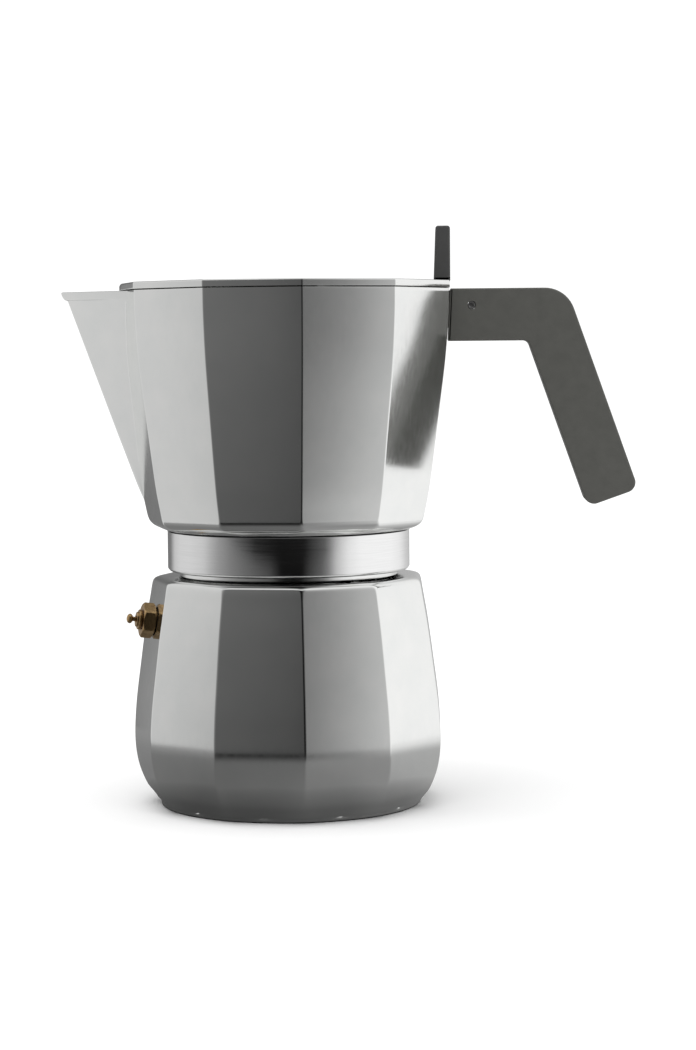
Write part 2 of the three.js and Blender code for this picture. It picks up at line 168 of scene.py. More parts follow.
def rounded_outline(corners, steps=6):
    """A closed outline in two directions from (across, up, corner radius), with true arcs."""
    outline = []
    for i, (across, up, radius) in enumerate(corners):
        here = np.array((across, up), float)
        if radius == 0:
            outline.append(here)
            continue
        before = np.array(corners[i - 1][:2], float) - here
        after = np.array(corners[(i + 1) % len(corners)][:2], float) - here
        before /= np.linalg.norm(before)
        after /= np.linalg.norm(after)
        half = math.acos(np.clip(before @ after, -1, 1)) / 2
        middle = here + (before + after) / np.linalg.norm(before + after) * radius / math.sin(half)
        start = here + before * radius / math.tan(half) - middle
        end = here + after * radius / math.tan(half) - middle
        sweep = math.atan2(start[0] * end[1] - start[1] * end[0], start @ end)
        for step in range(steps + 1):
            turn = sweep * step / steps
            cosine, sine = math.cos(turn), math.sin(turn)
            outline.append(middle + (cosine * start[0] - sine * start[1],
                                     sine * start[0] + cosine * start[1]))
    return np.array(outline)


def inset_outline(outline, distance):
    """The outline moved inwards by a distance, for either direction of travel."""
    ahead = np.roll(outline, -1, axis=0) - outline
    ahead /= np.linalg.norm(ahead, axis=1)[:, None]
    behind = np.roll(ahead, 1, axis=0)
    ahead_x, ahead_y = np.roll(outline, -1, axis=0).T
    area = np.sum(outline[:, 0] * ahead_y - outline[:, 1] * ahead_x)
    turn = 1 if area > 0 else -1
    left = lambda v: np.stack((-v[:, 1], v[:, 0]), axis=1) * turn
    mitre = left(ahead) + left(behind)
    mitre /= np.sum(mitre * left(ahead), axis=1)[:, None]
    return outline + mitre * distance


# ---------------------------------------------------------------- meshes

def loft(rows, loop=False):
    """Quads between rows of points, as vertices and faces. Open ends are closed by one flat face."""
    count = len(rows[0])
    vertices = np.concatenate(rows)
    pairs = [(i, i + 1) for i in range(len(rows) - 1)]
    if loop:
        pairs.append((len(rows) - 1, 0))
    faces = []
    for lower, upper in pairs:
        for j in range(count):
            k = (j + 1) % count
            faces.append((lower * count + j, lower * count + k, upper * count + k, upper * count + j))
    if not loop:
        faces.append(tuple(range(count)))
        faces.append(tuple(range(len(vertices) - count, len(vertices))))
    return vertices, faces


def shape(name, *lofts, place=None):
    """A mesh object from lofts in millimetres, closed, with its faces pointing out."""
    mesh = bpy.data.meshes.new(name)
    body = bmesh.new()
    for vertices, faces in lofts:
        points = [body.verts.new(Vector(vertex) * MM) for vertex in vertices]
        for face in faces:
            body.faces.new([points[i] for i in face])
    bmesh.ops.remove_doubles(body, verts=body.verts, dist=1e-7)
    bmesh.ops.dissolve_degenerate(body, dist=1e-8, edges=body.edges)
    bmesh.ops.recalc_face_normals(body, faces=body.faces)
    if place is not None:
        bmesh.ops.transform(body, matrix=place, verts=body.verts)
    body.to_mesh(mesh)
    body.free()
    piece = bpy.data.objects.new(name, mesh)
    bpy.context.scene.collection.objects.link(piece)
    return piece


def combine(piece, other, operation="DIFFERENCE"):
    """Cuts another closed form out of a piece, or joins it on."""
    modifier = piece.modifiers.new("combine", "BOOLEAN")
    modifier.operation = operation
    modifier.solver = "MANIFOLD"
    modifier.object = other
    bpy.context.view_layer.update()
    evaluated = piece.evaluated_get(bpy.context.evaluated_depsgraph_get())
    mesh = bpy.data.meshes.new_from_object(evaluated)
    piece.modifiers.clear()
    piece.data = mesh
    bpy.data.objects.remove(other)
    return piece


def around(radii, angles, height):
    """A row of points about Z."""
    radii = np.broadcast_to(radii, angles.shape)
    heights = np.broadcast_to(height, angles.shape)
    return np.stack((radii * np.cos(angles), radii * np.sin(angles), heights), axis=1)


def lathe(outline, sides=96):
    """A closed outline of (radius, height) turned about Z."""
    outline = np.asarray(outline, float)
    rows = []
    for step in range(sides):
        angle = 2 * math.pi * step / sides
        x = outline[:, 0] * math.cos(angle)
        y = outline[:, 0] * math.sin(angle)
        rows.append(np.stack((x, y, outline[:, 1]), axis=1))
    return loft(rows, loop=True)


def rod(radius, bottom, top, sides=32):
    return lathe([(0, bottom), (radius, bottom), (radius, top), (0, top)], sides)


def cross_rod(radius, x, z, half, sides=32, flare=0.0):
    """A rod along Y, wider at both ends by flare where it breaks the surface at half."""
    outline = [(0, -half - 2), (radius + 2 * flare, -half - 2), (radius + flare, -half),
               (radius, -half + flare), (radius, half - flare), (radius + flare, half),
               (radius + 2 * flare, half + 2), (0, half + 2)]
    vertices, faces = lathe(outline, sides)
    turned = np.stack((vertices[:, 0] + x, vertices[:, 2], vertices[:, 1] + z), axis=1)
    return turned, faces


def block(lowest, highest):
    (x0, y0, z0), (x1, y1, z1) = lowest, highest
    rows = [np.array([(x0, y0, z), (x1, y0, z), (x1, y1, z), (x0, y1, z)], float) for z in (z0, z1)]
    return loft(rows)


def slab(outline, half, bevel, middle=0.0):
    """An outline in X and Z given a width along Y, with rounded edges."""
    support = 0.35  # distance from a bevel to the points that keep the flat beside it flat
    bevel_steps = 4
    rows = []
    for side in (-1, 1):
        edge = [(inset_outline(outline, bevel + support), half)]
        for step in range(bevel_steps + 1):
            turn = math.pi / 2 * step / bevel_steps
            edge.append((inset_outline(outline, bevel * (1 - math.sin(turn))),
                         half - bevel * (1 - math.cos(turn))))
        edge.append((outline, half - bevel - support))
        flat = [np.insert(points, 1, side * y + middle, axis=1) for points, y in edge]
        rows.extend(flat if side < 0 else reversed(flat))
    return loft(rows)


# ---------------------------------------------------------------- faceted rows

# Steps away from a corner, and away from the spout's ridge, in degrees.
CORNER_STEPS = np.radians([0, 0.1, 0.2, 0.32, 0.45, 0.6, 0.8, 1.2, 2.0, 3.4, 5.5, 8.0, 10.8, 13.6])
SPOUT_STEPS = np.radians([0, 0.06, 0.12, 0.18, 0.24, 0.32, 0.45, 0.7, 1.2, 2.2, 4.0, 6.0, 7.3, 7.75])
JUNCTION = math.radians(8)  # where the spout's side meets the facet before the steps are stretched
STRETCH_END = math.radians(31)
BESIDE_STEPS = np.radians([8.0, 8.3, 8.8, 10.0, 12.5, 16.36, 20.0, 24.0, 28.0])


def corner_offset(angle, sides=FACETS):
    """Signed angle from the nearest corner, for a polygon with the middle of one side at angle zero."""
    half = math.pi / sides
    return np.mod(angle, 2 * half) - half


def facet_radius(angle, corner, rounding, sides=FACETS):
    """Distance from the axis to a polygon with rounded corners."""
    half = math.pi / sides
    offset = np.abs(corner_offset(angle, sides))
    flat = corner * math.cos(half) / np.cos(half - offset)
    rounding = min(rounding, corner * math.cos(half) - 1e-6)
    middle = corner - rounding / math.cos(half)
    reach = math.atan2(rounding * math.sin(half), middle + rounding * math.cos(half))
    arc = middle * np.cos(offset) + np.sqrt(np.maximum(rounding ** 2 - (middle * np.sin(offset)) ** 2, 0))
    return np.where(offset < reach, arc, flat)


def plain_columns():
    """Angles of the columns of points, close together at each corner."""
    angles = []
    for i in range(FACETS):
        corner = HALF_FACET * (2 * i + 1)
        angles.extend(corner - CORNER_STEPS[:0:-1])
        angles.extend(corner + CORNER_STEPS)
        angles.append(corner + HALF_FACET)
    return np.sort(np.array(angles))


def spout_columns():
    """As above, but with steps of their own on both sides of the spout corner at -X."""
    angles = plain_columns()
    side = np.concatenate((SPOUT_STEPS, BESIDE_STEPS, [STRETCH_END]))
    beside = 2 * HALF_FACET - CORNER_STEPS[CORNER_STEPS < 2 * HALF_FACET - STRETCH_END - 0.004]
    side = np.concatenate((side, np.sort(beside)[:-1]))
    kept = angles[np.abs(angles - math.pi) > 2 * HALF_FACET - 1e-6]
    return np.sort(np.concatenate((kept, math.pi + side, math.pi - side[1:])))


PLAIN = plain_columns()
WITH_SPOUT = spout_columns()


def spout_tip(height):
    return SPOUT_MEETS[1] + SPOUT_SLOPE * (height - SPOUT_MEETS[0])


def vessel_row(corner, rounding, height, tip=0.0, overhang=0.0, ridge=0.8):
    """A row of the collector: the faceted wall with the spout's V, whose own columns follow the line
    where the two meet."""
    spread = 1 / math.tan(SPOUT_OPENING)
    apothem = corner * math.cos(HALF_FACET)
    meet = math.atan2(tip * math.cos(HALF_FACET) - apothem, apothem * spread - tip * math.sin(HALF_FACET))
    meet = max(meet, math.radians(0.3))
    offset = WITH_SPOUT - math.pi
    nominal = np.abs(offset)
    inside = nominal * meet / JUNCTION
    beside = meet + (nominal - JUNCTION) * (STRETCH_END - meet) / (STRETCH_END - JUNCTION)
    moved = np.where(nominal < JUNCTION, inside, np.where(nominal < STRETCH_END, beside, nominal))
    angles = math.pi + np.sign(offset) * moved
    radii = facet_radius(angles, corner, rounding)
    if tip > corner:
        wall_there = apothem / math.cos(meet - HALF_FACET)
        reach = tip + overhang + ridge * (1 / math.sin(SPOUT_OPENING) - 1)
        lean = (reach / wall_there - math.cos(meet)) / math.sin(meet)
        opening = math.atan2(1, lean)
        straight = reach / (np.cos(moved) + lean * np.sin(moved))
        middle = reach - ridge / math.sin(opening)
        limit = math.atan2(ridge * math.cos(opening), middle + ridge * math.sin(opening))
        arc = middle * np.cos(moved) + np.sqrt(np.maximum(ridge ** 2 - (middle * np.sin(moved)) ** 2, 0))
        spout = np.where(moved < limit, arc, straight)
        radii = np.where(moved <= meet + 1e-9, np.maximum(spout, radii), radii)
    return around(radii, angles, height)


def round_row(radius, height):
    """A round row with the collector's columns."""
    angles = np.arctan2(*vessel_row(1.0, 0.0, height)[:, 1::-1].T)
    return around(radius, angles, height)


def level(table, height):
    heights, values = zip(*table)
    return float(np.interp(height, heights, values))


def thread(angles, height, start):
    """How far a rounded helical ridge stands out at each angle, at one height."""
    ridge = np.zeros_like(angles)
    for turn in range(THREAD_TURNS):
        middle = start + THREAD_PITCH * (angles / (2 * math.pi) + turn)
        away = np.abs(height - middle) / THREAD_HALF_WIDTH
        fade = np.ones_like(angles)
        if turn == 0:
            fade = np.clip(angles / 0.35, 0, 1)
        if turn == THREAD_TURNS - 1:
            fade = fade * np.clip((2 * math.pi - angles) / 0.35, 0, 1)
        ridge = np.maximum(ridge, THREAD_HEIGHT * fade * np.cos(np.clip(away, 0, 1) * math.pi / 2))
    return ridge


# ---------------------------------------------------------------- materials

def new_material(name, colour, metallic, roughness):
    material = bpy.data.materials.new(name)
    material.use_nodes = True
    shader = material.node_tree.nodes["Principled BSDF"]
    shader.inputs["Base Color"].default_value = (*colour, 1)
    shader.inputs["Metallic"].default_value = metallic
    shader.inputs["Roughness"].default_value = roughness
    return material, material.node_tree, shader


def add(tree, kind, **settings):
    node = tree.nodes.new(kind)
    for key, value in settings.items():
        setattr(node, key, value)
    return node


def noise(tree, scale, stretch=(1, 1, 1), detail=3.0):
    """Noise fixed to the object, as a value about one half."""
    place = add(tree, "ShaderNodeTexCoord")
    mapping = add(tree, "ShaderNodeMapping")
    mapping.inputs["Scale"].default_value = stretch
    texture = add(tree, "ShaderNodeTexNoise")
    texture.inputs["Scale"].default_value = scale
    texture.inputs["Detail"].default_value = detail
    tree.links.new(place.outputs["Object"], mapping.inputs["Vector"])
    tree.links.new(mapping.outputs["Vector"], texture.inputs["Vector"])
    return texture.outputs["Fac"]


def ranged(tree, value, lowest, highest, start=0.3, end=0.7):
    """A noise value spread over a range."""
    node = add(tree, "ShaderNodeMapRange")
    node.inputs["From Min"].default_value = start
    node.inputs["From Max"].default_value = end
    node.inputs["To Min"].default_value = lowest
    node.inputs["To Max"].default_value = highest
    tree.links.new(value, node.inputs["Value"])
    return node.outputs["Result"]


def varied_colour(tree, shader, value, first, second):
    """The shader's colour runs between two tones as the value goes from 0 to 1."""
    mix = add(tree, "ShaderNodeMix", data_type="RGBA")
    mix.inputs["A"].default_value = (*first, 1)
    mix.inputs["B"].default_value = (*second, 1)
    tree.links.new(value, mix.inputs["Factor"])
    tree.links.new(mix.outputs["Result"], shader.inputs["Base Color"])


def bumped(tree, shader, value, distance, strength=1.0):
    bump = add(tree, "ShaderNodeBump")
    bump.inputs["Distance"].default_value = distance
    bump.inputs["Strength"].default_value = strength
    tree.links.new(value, bump.inputs["Height"])
    tree.links.new(bump.outputs["Normal"], shader.inputs["Normal"])


def satin_aluminium(name, roughness):
    """Cast aluminium, linished to a satin: fine grain, soft mottling and a slight change of gloss."""
    tone = 0.86
    material, tree, shader = new_material(name, (tone, tone, tone), 1.0, roughness)
    mottle = noise(tree, 90, detail=4)
    varied_colour(tree, shader, ranged(tree, mottle, 0, 1), (tone - 0.02, tone - 0.01, tone - 0.02),
                  (tone + 0.02, tone + 0.022, tone + 0.01))
    gloss = noise(tree, 700, stretch=(1, 1, 0.35))
    tree.links.new(ranged(tree, gloss, roughness - 0.02, roughness + 0.02), shader.inputs["Roughness"])
    bumped(tree, shader, noise(tree, 2600), 0.000002, 0.5)
    return material


def turned_aluminium(name, roughness):
    """Aluminium turned on a lathe: rings of fine tool marks."""
    tone = 0.88
    material, tree, shader = new_material(name, (tone, tone, tone), 1.0, roughness)
    rings = noise(tree, 2400, stretch=(0.02, 0.02, 1), detail=2)
    varied_colour(tree, shader, ranged(tree, rings, 0, 1), (tone - 0.03,) * 3, (tone + 0.02,) * 3)
    tree.links.new(ranged(tree, rings, roughness - 0.02, roughness + 0.04), shader.inputs["Roughness"])
    bumped(tree, shader, rings, 0.000002, 0.6)
    return material


def brass():
    """Machined brass, dulled brown, with turning marks."""
    material, tree, shader = new_material("valve_brass", (0.55, 0.36, 0.17), 1.0, 0.3)
    stain = noise(tree, 420, detail=5)
    varied_colour(tree, shader, ranged(tree, stain, 0, 1), (0.36, 0.23, 0.11), (0.62, 0.42, 0.2))
    tree.links.new(ranged(tree, stain, 0.38, 0.26), shader.inputs["Roughness"])
    bumped(tree, shader, noise(tree, 3000), 0.00002, 0.4)
    return material


def moulded_plastic(name, tone, roughness):
    """Glass-filled nylon: fine spark-eroded grain and a faint mottle."""
    material, tree, shader = new_material(name, tone, 0.0, roughness)
    darker = tuple(0.94 * value for value in tone)
    lighter = tuple(1.06 * value for value in tone)
    varied_colour(tree, shader, ranged(tree, noise(tree, 240, detail=4), 0, 1), darker, lighter)
    grain = noise(tree, 3200, detail=2)
    tree.links.new(ranged(tree, grain, roughness - 0.05, roughness + 0.05), shader.inputs["Roughness"])
    bumped(tree, shader, grain, 0.00004, 0.5)
    return material


def rubber(name, tone):
    material, tree, shader = new_material(name, tone, 0.0, 0.62)
    lighter = tuple(1.08 * value for value in tone)
    varied_colour(tree, shader, ranged(tree, noise(tree, 300, detail=4), 0, 1), tone, lighter)
    bumped(tree, shader, noise(tree, 1800), 0.00003, 0.5)
    return material


def steel():
    """Plated steel with a fine drawn grain."""
    material, tree, shader = new_material("fastener_steel", (0.6, 0.6, 0.6), 1.0, 0.4)
    grain = noise(tree, 1500, stretch=(1, 0.1, 1))
    varied_colour(tree, shader, ranged(tree, grain, 0, 1), (0.5, 0.5, 0.5), (0.66, 0.66, 0.66))
    tree.links.new(ranged(tree, grain, 0.34, 0.46), shader.inputs["Roughness"])
    return material


CAST = satin_aluminium("cast_aluminium", 0.13)
COLLAR_FINISH = turned_aluminium("collar_aluminium", 0.1)
DRAWN = turned_aluminium("drawn_aluminium", 0.24)
BRASS = brass()
STEEL = steel()
HANDLE_PLASTIC = moulded_plastic("handle_plastic", (0.082, 0.082, 0.074), 0.5)
# The knob's plastic is set darker than the handle's: painted shade, for the knob's darker lighting.
SHADED_KNOB_PLASTIC = moulded_plastic("knob_plastic", (0.058, 0.058, 0.057), 0.5)
GASKET_RUBBER = rubber("gasket_rubber", (0.74, 0.73, 0.69))
SEAL_RUBBER = rubber("seal_rubber", (0.045, 0.045, 0.045))


def finish_piece(piece, body, material, node):
    """Shading, finish, body and the CAD node that a piece stands for."""
    piece.data.materials.clear()
    piece.data.materials.append(material)
    piece.data.shade_smooth()
    piece.data.set_sharp_from_angle(angle=SHARP_ANGLE)
    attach(piece, body)
    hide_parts(node)


# ---------------------------------------------------------------- boiler

# The round base, as (radius, height).
BASE_RING = [(0, 0), (30, 0), (50.2, 0), (50.6, 0.1), (50.85, 0.35), (50.9, 0.6), (50.9, 1.3)]


def valve_place():
    """The valve's own axis along Z, set square to the facet beside the spout corner, towards -Y."""
    facing = math.pi + HALF_FACET
    outward = Vector((math.cos(VALVE_TILT) * math.cos(facing), math.cos(VALVE_TILT) * math.sin(facing),
                      math.sin(VALVE_TILT)))
    spot = Vector((VALVE_REACH * math.cos(facing), VALVE_REACH * math.sin(facing), VALVE_HEIGHT))
    turn = outward.to_track_quat("Z", "Y").to_matrix().to_4x4()
    return Matrix.Translation(spot * MM) @ turn


def make_boiler():
    rows = [around(radius, PLAIN, height) for radius, height in BASE_RING]
    side = smooth_line(BOILER_SIDE, 7) + smooth_line(BOILER_SHOULDER, 3)[1:]
    for corner, height in side:
        rows.append(around(facet_radius(PLAIN, corner, level(BOILER_ROUNDING, height)), PLAIN, height))
    for radius, height in [(46.0, 89.4), (43.2, 89.45), (42.5, 89.7), (NECK_RADIUS, 90.4)]:
        rows.append(around(radius, PLAIN, height))
    for height in np.arange(90.7, NECK_TOP - 0.6, 0.25):
        rows.append(around(NECK_RADIUS + thread(PLAIN, height, SHOULDER + 2.6), PLAIN, height))
    for radius, height in [(NECK_RADIUS, NECK_TOP - 0.5), (NECK_RADIUS - 0.15, NECK_TOP - 0.15),
                           (NECK_RADIUS - 0.5, NECK_TOP), (NECK_BORE + 0.4, NECK_TOP),
                           (NECK_BORE, NECK_TOP - 0.4), (NECK_BORE, 95), (NECK_BORE, 87.6)]:
        rows.append(around(radius, PLAIN, height))
    for radius, height in smooth_line(BOILER_CAVITY, 5):
        rows.append(around(radius, PLAIN, height))
    rows.append(around(40, PLAIN, 4.5))
    rows.append(around(0, PLAIN, 4.5))
    piece = shape("boiler_shell", loft(rows))
    combine(piece, shape("valve_hole", rod(5.1, -12, 12, 48), place=valve_place()))
    finish_piece(piece, "boiler", CAST, "boiler")


# ---------------------------------------------------------------- safety valve

# Radii, and distances along the valve's axis from the boiler's facet outwards.
HEX_RADIUS = 6.9
HEX_BOTTOM = 0.4
HEX_TOP = 5.0
RECESS_RADIUS = 5.65  # the washer lies in a recess under the hexagon
RECESS_TOP = 1.4
SHANK_RADIUS = 4.7
SHANK_END = -5.6
BORE_RADIUS = 2.7
SEAT = -4.4
SEAT_BORE = 1.5
CAP_BOTTOM = 5.3
CAP_TOP = 7.1
PIN_STEM = 0.9
PIN_BALL = 1.9


def make_valve():
    place = valve_place()
    angles = np.radians(np.arange(0, 360, 3.0))
    rows = []
    # Up the outside of the hexagon, whose corners are cut to a cone at both ends,
    for height, cone in [(HEX_BOTTOM, 6.1), (0.45, 6.35), (0.55, 6.5), (0.7, 6.68), (0.9, 6.9), (1.3, 7.3),
                         (4.1, 7.3), (4.35, 6.9), (4.55, 6.65), (4.75, 6.4), (4.9, 6.2), (4.97, 6.05),
                         (HEX_TOP, 5.8)]:
        rows.append(around(np.minimum(facet_radius(angles, HEX_RADIUS, 0.25, 6), cone), angles, height))
    # down the bore to the seat, and back up the shank to the recess.
    for radius, height in [(5.0, HEX_TOP), (BORE_RADIUS + 0.3, HEX_TOP), (BORE_RADIUS + 0.05, HEX_TOP - 0.1),
                           (BORE_RADIUS, HEX_TOP - 0.3), (BORE_RADIUS, SEAT), (SEAT_BORE, SEAT),
                           (SEAT_BORE, SHANK_END + 0.1), (SEAT_BORE + 0.2, SHANK_END),
                           (SHANK_RADIUS - 0.3, SHANK_END), (SHANK_RADIUS, SHANK_END + 0.3),
                           (SHANK_RADIUS, 0.8), (SHANK_RADIUS, RECESS_TOP), (RECESS_RADIUS, RECESS_TOP),
                           (RECESS_RADIUS, HEX_BOTTOM)]:
        rows.append(around(radius, angles, height))
    body = shape("valve_hexagon", loft(rows, loop=True), place=place)
    finish_piece(body, "boiler", BRASS, "valve_body")

    washer = rounded_outline([(4.95, 0.3, 0.15), (5.45, 0.3, 0.2), (5.45, 1.1, 0.2), (4.95, 1.1, 0.15)], 4)
    piece = shape("valve_sealing_washer", lathe(washer, 64), place=place)
    finish_piece(piece, "boiler", SEAL_RUBBER, "valve_washer")

    cap = rounded_outline([
        (1.3, 4.6, 0.1), (2.3, 4.6, 0.1), (2.3, CAP_BOTTOM, 0), (3.9, CAP_BOTTOM, 0.2), (3.9, 6.3, 0.3),
        (2.9, 6.3, 0.15), (2.9, CAP_TOP, 0.3), (1.3, CAP_TOP, 0.2),
    ], 4)
    piece = shape("valve_turned_cap", lathe(cap, 64), place=place)
    finish_piece(piece, "boiler", BRASS, "valve_cap")

    pin = [(0, -3.3), (2.1, -3.3), (2.2, -3.2), (2.2, -2.6), (2.1, -2.5), (PIN_STEM, -2.5), (PIN_STEM, 8.4)]
    pin += [(PIN_BALL * math.sin(t), 9.5 - 1.25 * math.cos(t)) for t in np.radians(np.arange(36, 180, 9))]
    pin.append((0, 10.75))
    piece = shape("valve_stem", lathe(pin, 40), place=place)
    finish_piece(piece, "valve_plunger", BRASS, "valve_pin")

    seal = rounded_outline([(0, -4.1, 0), (2.2, -4.1, 0.15), (2.2, -3.6, 0.15), (0, -3.6, 0)], 3)
    piece = shape("valve_seal_disc", lathe(seal, 40), place=place)
    finish_piece(piece, "valve_plunger", SEAL_RUBBER, "valve_seal")

    rows = []
    turns, steps = 4.8, 150
    for step in range(steps + 1):
        angle = 2 * math.pi * turns * step / steps
        outward = np.array((math.cos(angle), math.sin(angle), 0))
        middle = 1.75 * outward + (0, 0, -1.8 + 1.2 * turns * step / steps)
        ring = [middle + 0.32 * (math.cos(t) * outward + (0, 0, math.sin(t)))
                for t in np.linspace(0, 2 * math.pi, 10, endpoint=False)]
        rows.append(np.array(ring))
    spring = shape("valve_coil_spring", loft(rows), place=place)
    finish_piece(spring, "boiler", STEEL, "valve_spring")
    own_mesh(spring)


# ---------------------------------------------------------------- funnel, gasket and filter plate

def perforated_plate(name, radius, bottom, top, spacing, rings, hole):
    plate = shape(name, lathe(rounded_outline([(0, bottom, 0), (radius, bottom, 0.25), (radius, top, 0.25),
                                               (0, top, 0)], 4), 120))
    holes = [rod(hole, bottom - 1, top + 1, 14)]
    for row in range(1, rings + 1):
        for i in range(6 * row):
            angle = 2 * math.pi * i / (6 * row)
            vertices, faces = rod(hole, bottom - 1, top + 1, 14)
            shift = (row * spacing * math.cos(angle), row * spacing * math.sin(angle), 0)
            holes.append((vertices + shift, faces))
    return combine(plate, shape("holes", *holes))


def make_funnel():
    cup = rounded_outline([
        (5.9, 70.0, 0.25), (7.2, 70.0, 0.3), (7.2, 74.0, 1.0), (36.0, 82.4, 1.5), (36.9, 83.6, 0.8),
        (36.9, 103.6, 0.25), (41.5, 103.6, 0.3), (41.5, 104.6, 0.45), (35.9, 104.6, 0.6),
        (35.9, 84.0, 0.2), (33.5, 84.0, 0.2), (33.5, 83.2, 0.2), (8.0, 75.9, 1.0), (5.9, 75.3, 0.3),
    ], 5)
    finish_piece(shape("funnel_basket", lathe(cup, 120)), "funnel", DRAWN, "funnel_cup")
    tube = rounded_outline([(4.5, 9.0, 0.2), (5.6, 9.0, 0.3), (5.6, 75.0, 0.3), (4.5, 75.0, 0.3)], 4)
    finish_piece(shape("funnel_tube", lathe(tube, 64)), "funnel", DRAWN, "funnel_stem")
    screen = perforated_plate("basket_screen", 35.5, 84.3, 85.1, 4.4, 7, 0.8)
    finish_piece(screen, "funnel", DRAWN, "funnel_screen")


def make_gasket():
    inner, outer, bottom, top = 34.2, 42.0, 104.9, 107.7
    ring = rounded_outline([(inner, bottom, 0.5), (outer, bottom, 0.5), (outer, top, 0.5),
                            (inner, top, 0.5)], 5)
    piece = shape("gasket_ring", lathe(ring, 120))
    finish_piece(piece, "seal", GASKET_RUBBER, "gasket")
    plate = perforated_plate("coffee_filter", 33.9, 105.5, 106.4, 4.2, 7, 0.7)
    finish_piece(plate, "seal", DRAWN, "filter_plate")


# ---------------------------------------------------------------- collector

def inner_rows():
    """From the edge of the column's hole, over the floor and up the inside to the rim."""
    rows = [round_row(radius, VESSEL_FLOOR) for radius in (7.5, 20.0, 36.0)]
    for corner, rounding, height in [(46.0, 34.0, 112.05), (49.2, 26.0, 112.5), (51.2, 16.0, 113.7),
                                     (52.2, 8.0, 115.5), (53.0, 4.0, 118.0)]:
        rows.append(vessel_row(corner, rounding, height))
    wall = WALL / math.cos(HALF_FACET)
    for corner, height in smooth_line(VESSEL_SIDE[1:-1] + [(VESSEL_RIM, 199.4)], 7):
        rows.append(vessel_row(corner - wall, 3.0, height, channel_tip(height), 0, 1.0))
    edge = VESSEL_RIM - wall
    rows.append(vessel_row(edge + 0.12, 3.0, RIM - 0.2, channel_tip(RIM) + 0.12, 0, 1.0))
    rows.append(vessel_row(edge + 0.4, 3.0, RIM, channel_tip(RIM) + 0.4, 0, 1.0))
    return rows


def channel_tip(height):
    return spout_tip(height) - SPOUT_WALL / math.sin(SPOUT_OPENING)


def outer_rows():
    """From the rim down the outside, under the vessel and to the top of the collar."""
    rows = [vessel_row(VESSEL_RIM - 0.4, 1.1, RIM, spout_tip(RIM) - 0.5, SPOUT_LIP - 0.3),
            vessel_row(VESSEL_RIM - 0.1, 1.1, RIM - 0.1, spout_tip(RIM) - 0.2, SPOUT_LIP - 0.05)]
    side = smooth_line(VESSEL_SIDE, 7)
    lip_bottom = RIM - SPOUT_LIP_DEPTH
    lip = [(RIM - 0.4, SPOUT_LIP), (RIM - 1.3, SPOUT_LIP + 0.1), (lip_bottom + 0.9, SPOUT_LIP - 0.1),
           (lip_bottom + 0.35, SPOUT_LIP - 0.4), (lip_bottom + 0.05, 0.7), (lip_bottom - 0.05, 0.3),
           (lip_bottom - 0.1, 0.1), (lip_bottom - 0.25, 0.0)]
    by_height = [(height, corner) for corner, height in side]
    for height, overhang in lip:
        corner = level(by_height, height)
        rows.append(vessel_row(corner, 1.1, height, spout_tip(height), overhang))
    for corner, height in reversed(side):
        if height < lip_bottom - 0.5:
            rows.append(vessel_row(corner, 1.1, height, spout_tip(height)))
    for corner, height in reversed(smooth_line(VESSEL_UNDERSIDE, 3)[:-1]):
        rows.append(vessel_row(corner, level(VESSEL_ROUNDING, height), height))
    return rows


def collar_rows():
    """The round collar, down its outside and up its threaded bore to the gasket's seat."""
    rows = [round_row(radius, height) for radius, height in [
        (COLLAR_RADIUS + 0.1, COLLAR_TOP - 0.05), (COLLAR_RADIUS, COLLAR_TOP - 0.25),
        (COLLAR_RADIUS, COLLAR_BOTTOM + 1.2), (COLLAR_RADIUS - 0.1, COLLAR_BOTTOM + 0.9),
        (COLLAR_RADIUS - 0.8, COLLAR_BOTTOM + 0.1), (COLLAR_RADIUS - 1.1, COLLAR_BOTTOM),
        (COLLAR_BORE + 0.4, COLLAR_BOTTOM), (COLLAR_BORE, COLLAR_BOTTOM + 0.4)]]
    for height in np.arange(COLLAR_BOTTOM + 1, COLLAR_TOP - 1, 0.3):
        row = round_row(COLLAR_BORE, height)
        angles = np.mod(np.arctan2(row[:, 1], row[:, 0]), 2 * math.pi)
        rows.append(around(COLLAR_BORE - thread(angles, height, COLLAR_BOTTOM + 3.2), angles, height))
    for radius, height in [(COLLAR_BORE, GASKET_SEAT - 0.3), (COLLAR_BORE - 0.3, GASKET_SEAT),
                           (30.0, GASKET_SEAT), (7.5, GASKET_SEAT)]:
        rows.append(round_row(radius, height))
    return rows


def make_collector():
    piece = shape("collector_vessel", loft(inner_rows() + outer_rows() + collar_rows(), loop=True))
    lug = rounded_outline([(61.0, 185.0, 0), (73.0, 185.0, 3), (77.0, 189.5, 3), (77.0, 199.4, 2),
                           (61.0, 199.4, 0)])
    for side in (-1, 1):
        combine(piece, shape("lug", slab(lug, 0.9, 0.3, 3.5 * side)), "UNION")
    combine(piece, shape("tongue_notch", block((56.0, -2.6, 187.0), (64.5, 2.6, 202.0))))
    combine(piece, shape("pin_hole", cross_rod(PIN_HOLE, PIN_X, PIN_Z, 8)))
    finish_piece(piece, "collector", CAST, "collector")
    piece.data.materials.append(COLLAR_FINISH)
    for face in piece.data.polygons:
        if face.center.z < (COLLAR_TOP - 0.03) * MM:
            face.material_index = 1


def make_column():
    outline = rounded_outline([
        (5.4, 109.6, 0.2), (7.2, 109.6, 0.2), (7.2, 112.3, 0), (10.5, 112.3, 0.2), (9.4, 117.0, 4.0),
        (7.2, 176.0, 8.0), (6.6, 179.0, 2.0), (4.6, 181.0, 1.5), (0, 181.4, 0), (0, 177.0, 0),
        (5.0, 175.0, 2.0),
    ])
    piece = shape("coffee_column", lathe(outline, 72))
    combine(piece, shape("outlets", cross_rod(2.6, 0, 170.0, 10)))
    finish_piece(piece, "collector", CAST, "column")


# ---------------------------------------------------------------- handle and hinge pin

